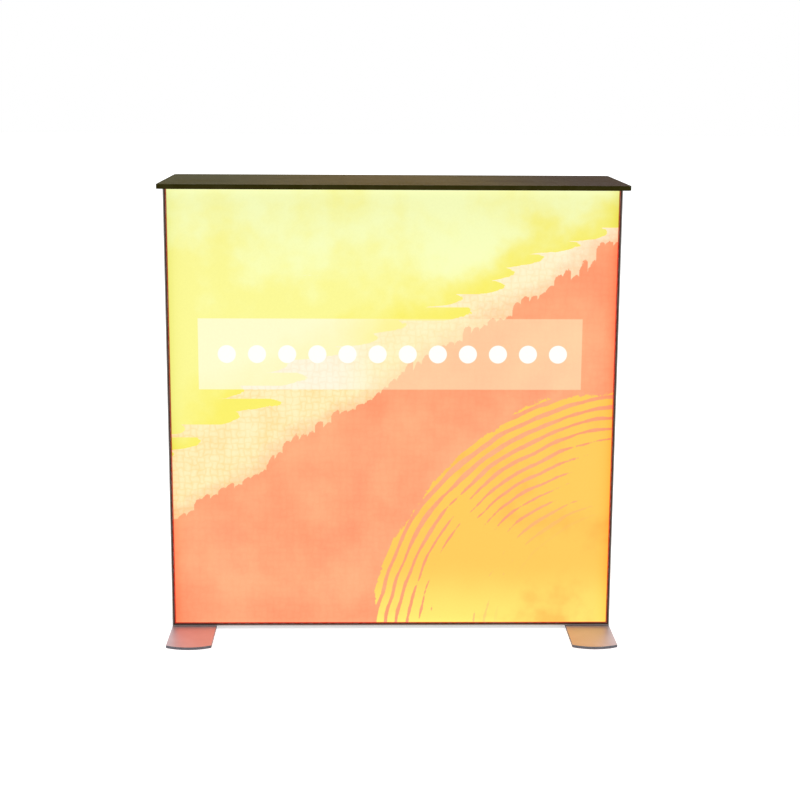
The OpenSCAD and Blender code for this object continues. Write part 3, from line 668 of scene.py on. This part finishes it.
def pull_tab(name, side, node, body):
    """Short loop of tape sewn to the silicone edge: two layers and the fold that shows first."""
    lo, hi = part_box(node)
    front_y, back_y = (lo.y, hi.y) if side < 0 else (hi.y, lo.y)
    gap = (hi.z - lo.z) / 2 - TAPE_T
    mid = (lo.z + hi.z) / 2
    reach = abs(back_y - front_y) - gap - TAPE_T
    path = [(reach * (1 - k / 6), -gap) for k in range(7)]
    path += [(-gap * math.sin(math.radians(a)), -gap * math.cos(math.radians(a))) for a in (45, 90, 135)]
    path += [(reach * k / 6, gap) for k in range(7)]
    cols = 10
    verts, faces = [], []
    for d, h in path:
        for i in range(cols + 1):
            x = lo.x + (hi.x - lo.x) * i / cols
            verts.append((x, front_y - side * (d + gap + TAPE_T), mid + h))
    for j in range(len(path) - 1):
        for i in range(cols):
            k = j * (cols + 1) + i
            faces.append((k, k + 1, k + cols + 2, k + cols + 1))
    obj = mesh_object(name, verts, faces, FINISH["tab_fabric"])
    layer = obj.modifiers.new("thickness", "SOLIDIFY")
    layer.thickness = TAPE_T
    layer.offset = 0.0
    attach(obj, body)
    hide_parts(node)
    2 * reach + math.pi * gap
    return obj


def coil_spring(name, node, joint):
    """Button spring: open turns and a closed one at each end."""
    lo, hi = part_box(node)
    wire, turns, ring, per_turn = SPRING_WIRE, SPRING_TURNS, 8, 24
    cy, cz = (lo.y + hi.y) / 2, (lo.z + hi.z) / 2
    radius = (hi.y - lo.y) / 2 - wire
    steps = int((turns + 2) * per_turn)
    length = hi.x - lo.x - 2 * wire
    closed = 2 * wire / length
    path = []
    for k in range(steps + 1):
        t = k / per_turn
        rise = t * closed if t < 1 else (closed + (t - 1) / turns * (1 - 2 * closed) if t < turns + 1
                                         else 1 - closed + (t - turns - 1) * closed)
        ang = 2 * math.pi * t
        x = lo.x + wire + length * rise
        path.append(Vector((x, cy + radius * math.cos(ang), cz + radius * math.sin(ang))))
    verts, faces = [], []
    for k, p in enumerate(path):
        along = (path[min(k + 1, steps)] - path[max(k - 1, 0)]).normalized()
        out = Vector((0.0, p.y - cy, p.z - cz)).normalized()
        across = along.cross(out).normalized()
        out = across.cross(along)
        for i in range(ring):
            ang = 2 * math.pi * i / ring
            verts.append(p + (out * math.cos(ang) + across * math.sin(ang)) * wire)
    for k in range(steps):
        for i in range(ring):
            j = (i + 1) % ring
            faces.append((k * ring + i, (k + 1) * ring + i, (k + 1) * ring + j, k * ring + j))
    faces.append(tuple(range(ring)))
    faces.append(tuple(steps * ring + i for i in reversed(range(ring))))
    obj = mesh_object(name, verts, faces, FINISH["spring_steel"])
    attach(obj, "frame")
    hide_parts(node)
    pressed = next(j for j in frame["record"]["behaviour"]["joints"] if j["name"] == joint)
    travel = max(abs(v) for v in pressed["range_m"])
    1.0 - travel / (hi.x - lo.x)
    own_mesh(obj)
    return obj


for corner in ("bottom_left", "bottom_right", "top_left", "top_right"):
    coil_spring("coil_spring_" + corner, "button_spring_" + corner, "button_" + corner + "_press")

for side, word in ((-1, "front"), (1, "back")):
    fabric_face(word + "_fabric", side, word + "_graphic", FINISH[word + "_print"], word + "_face")
    keder_ring(word + "_silicone_edge", side, word + "_keder", word + "_face")
    pull_tab(word + "_tab", side, word + "_pull_tab", word + "_face")


# ---------------------------------------------------------------- studio

CAMERA_AT = (-0.05973, -3.5795, 1.24792)
CAMERA_TURN = (0.19967, 0.02172, 0.00577)    # pitch down, yaw and roll, in radians
CAMERA_LENS = 72.586                         # mm, on a 36 mm sensor


def floor():
    """White ground that only the renders show."""
    s = Shade("studio_floor")
    cloud = s.noise(s.place, 3.0, 3.0)
    tone = s.mix(cloud, (0.90, 0.90, 0.90, 1.0), (0.93, 0.93, 0.93, 1.0))
    mat = s.set(Base_Color=tone, Roughness=0.9, Specular_IOR_Level=0.1, Emission_Color=(1.0, 1.0, 1.0, 1.0),
                Emission_Strength=0.5)
    size = 30.0
    obj = mesh_object("floor", [(-size, -size, 0), (size, -size, 0), (size, size, 0), (-size, size, 0)],
                      [(0, 1, 2, 3)], mat, smooth=False)
    obj.location.z = CAD_BOX[0][2]


def area_light(name, where, target, size, power):
    light = bpy.data.lights.new(name, "AREA")
    light.shape = "RECTANGLE"
    light.size, light.size_y = size
    light.energy = power
    obj = bpy.data.objects.new(name, light)
    obj.location = where
    obj.rotation_euler = (Vector(target) - Vector(where)).to_track_quat("-Z", "Y").to_euler()
    bpy.context.scene.collection.objects.link(obj)


def camera():
    """Long lens a little left of centre and just above the counter, tipped down."""
    pitch, yaw, roll = CAMERA_TURN
    forward = Vector((math.sin(yaw) * math.cos(pitch), math.cos(yaw) * math.cos(pitch), -math.sin(pitch)))
    right = Vector((math.cos(yaw), -math.sin(yaw), 0.0))
    up = right.cross(forward)
    tilted = right * math.cos(roll) + up * math.sin(roll)
    up = up * math.cos(roll) - right * math.sin(roll)
    lens = bpy.data.cameras.new("camera")
    lens.lens = CAMERA_LENS
    lens.sensor_width = 36.0
    obj = bpy.data.objects.new("camera", lens)
    rot = Matrix((tilted, up, -forward)).transposed().to_4x4()
    obj.matrix_world = Matrix.Translation(CAMERA_AT) @ rot
    bpy.context.scene.collection.objects.link(obj)
    bpy.context.scene.camera = obj


def studio():
    scene = bpy.context.scene
    scene.view_settings.view_transform = "Standard"
    world = bpy.data.worlds.new("studio")
    world.use_nodes = True
    sky = world.node_tree.nodes["Background"]
    sky.inputs["Color"].default_value = (1.0, 1.0, 1.0, 1.0)
    sky.inputs["Strength"].default_value = 1.0
    scene.world = world
    area_light("overhead", (0.0, -0.6, 3.6), (0.0, -0.2, 0.0), (4.0, 4.0), 50.0)
    floor()
    camera()


studio()
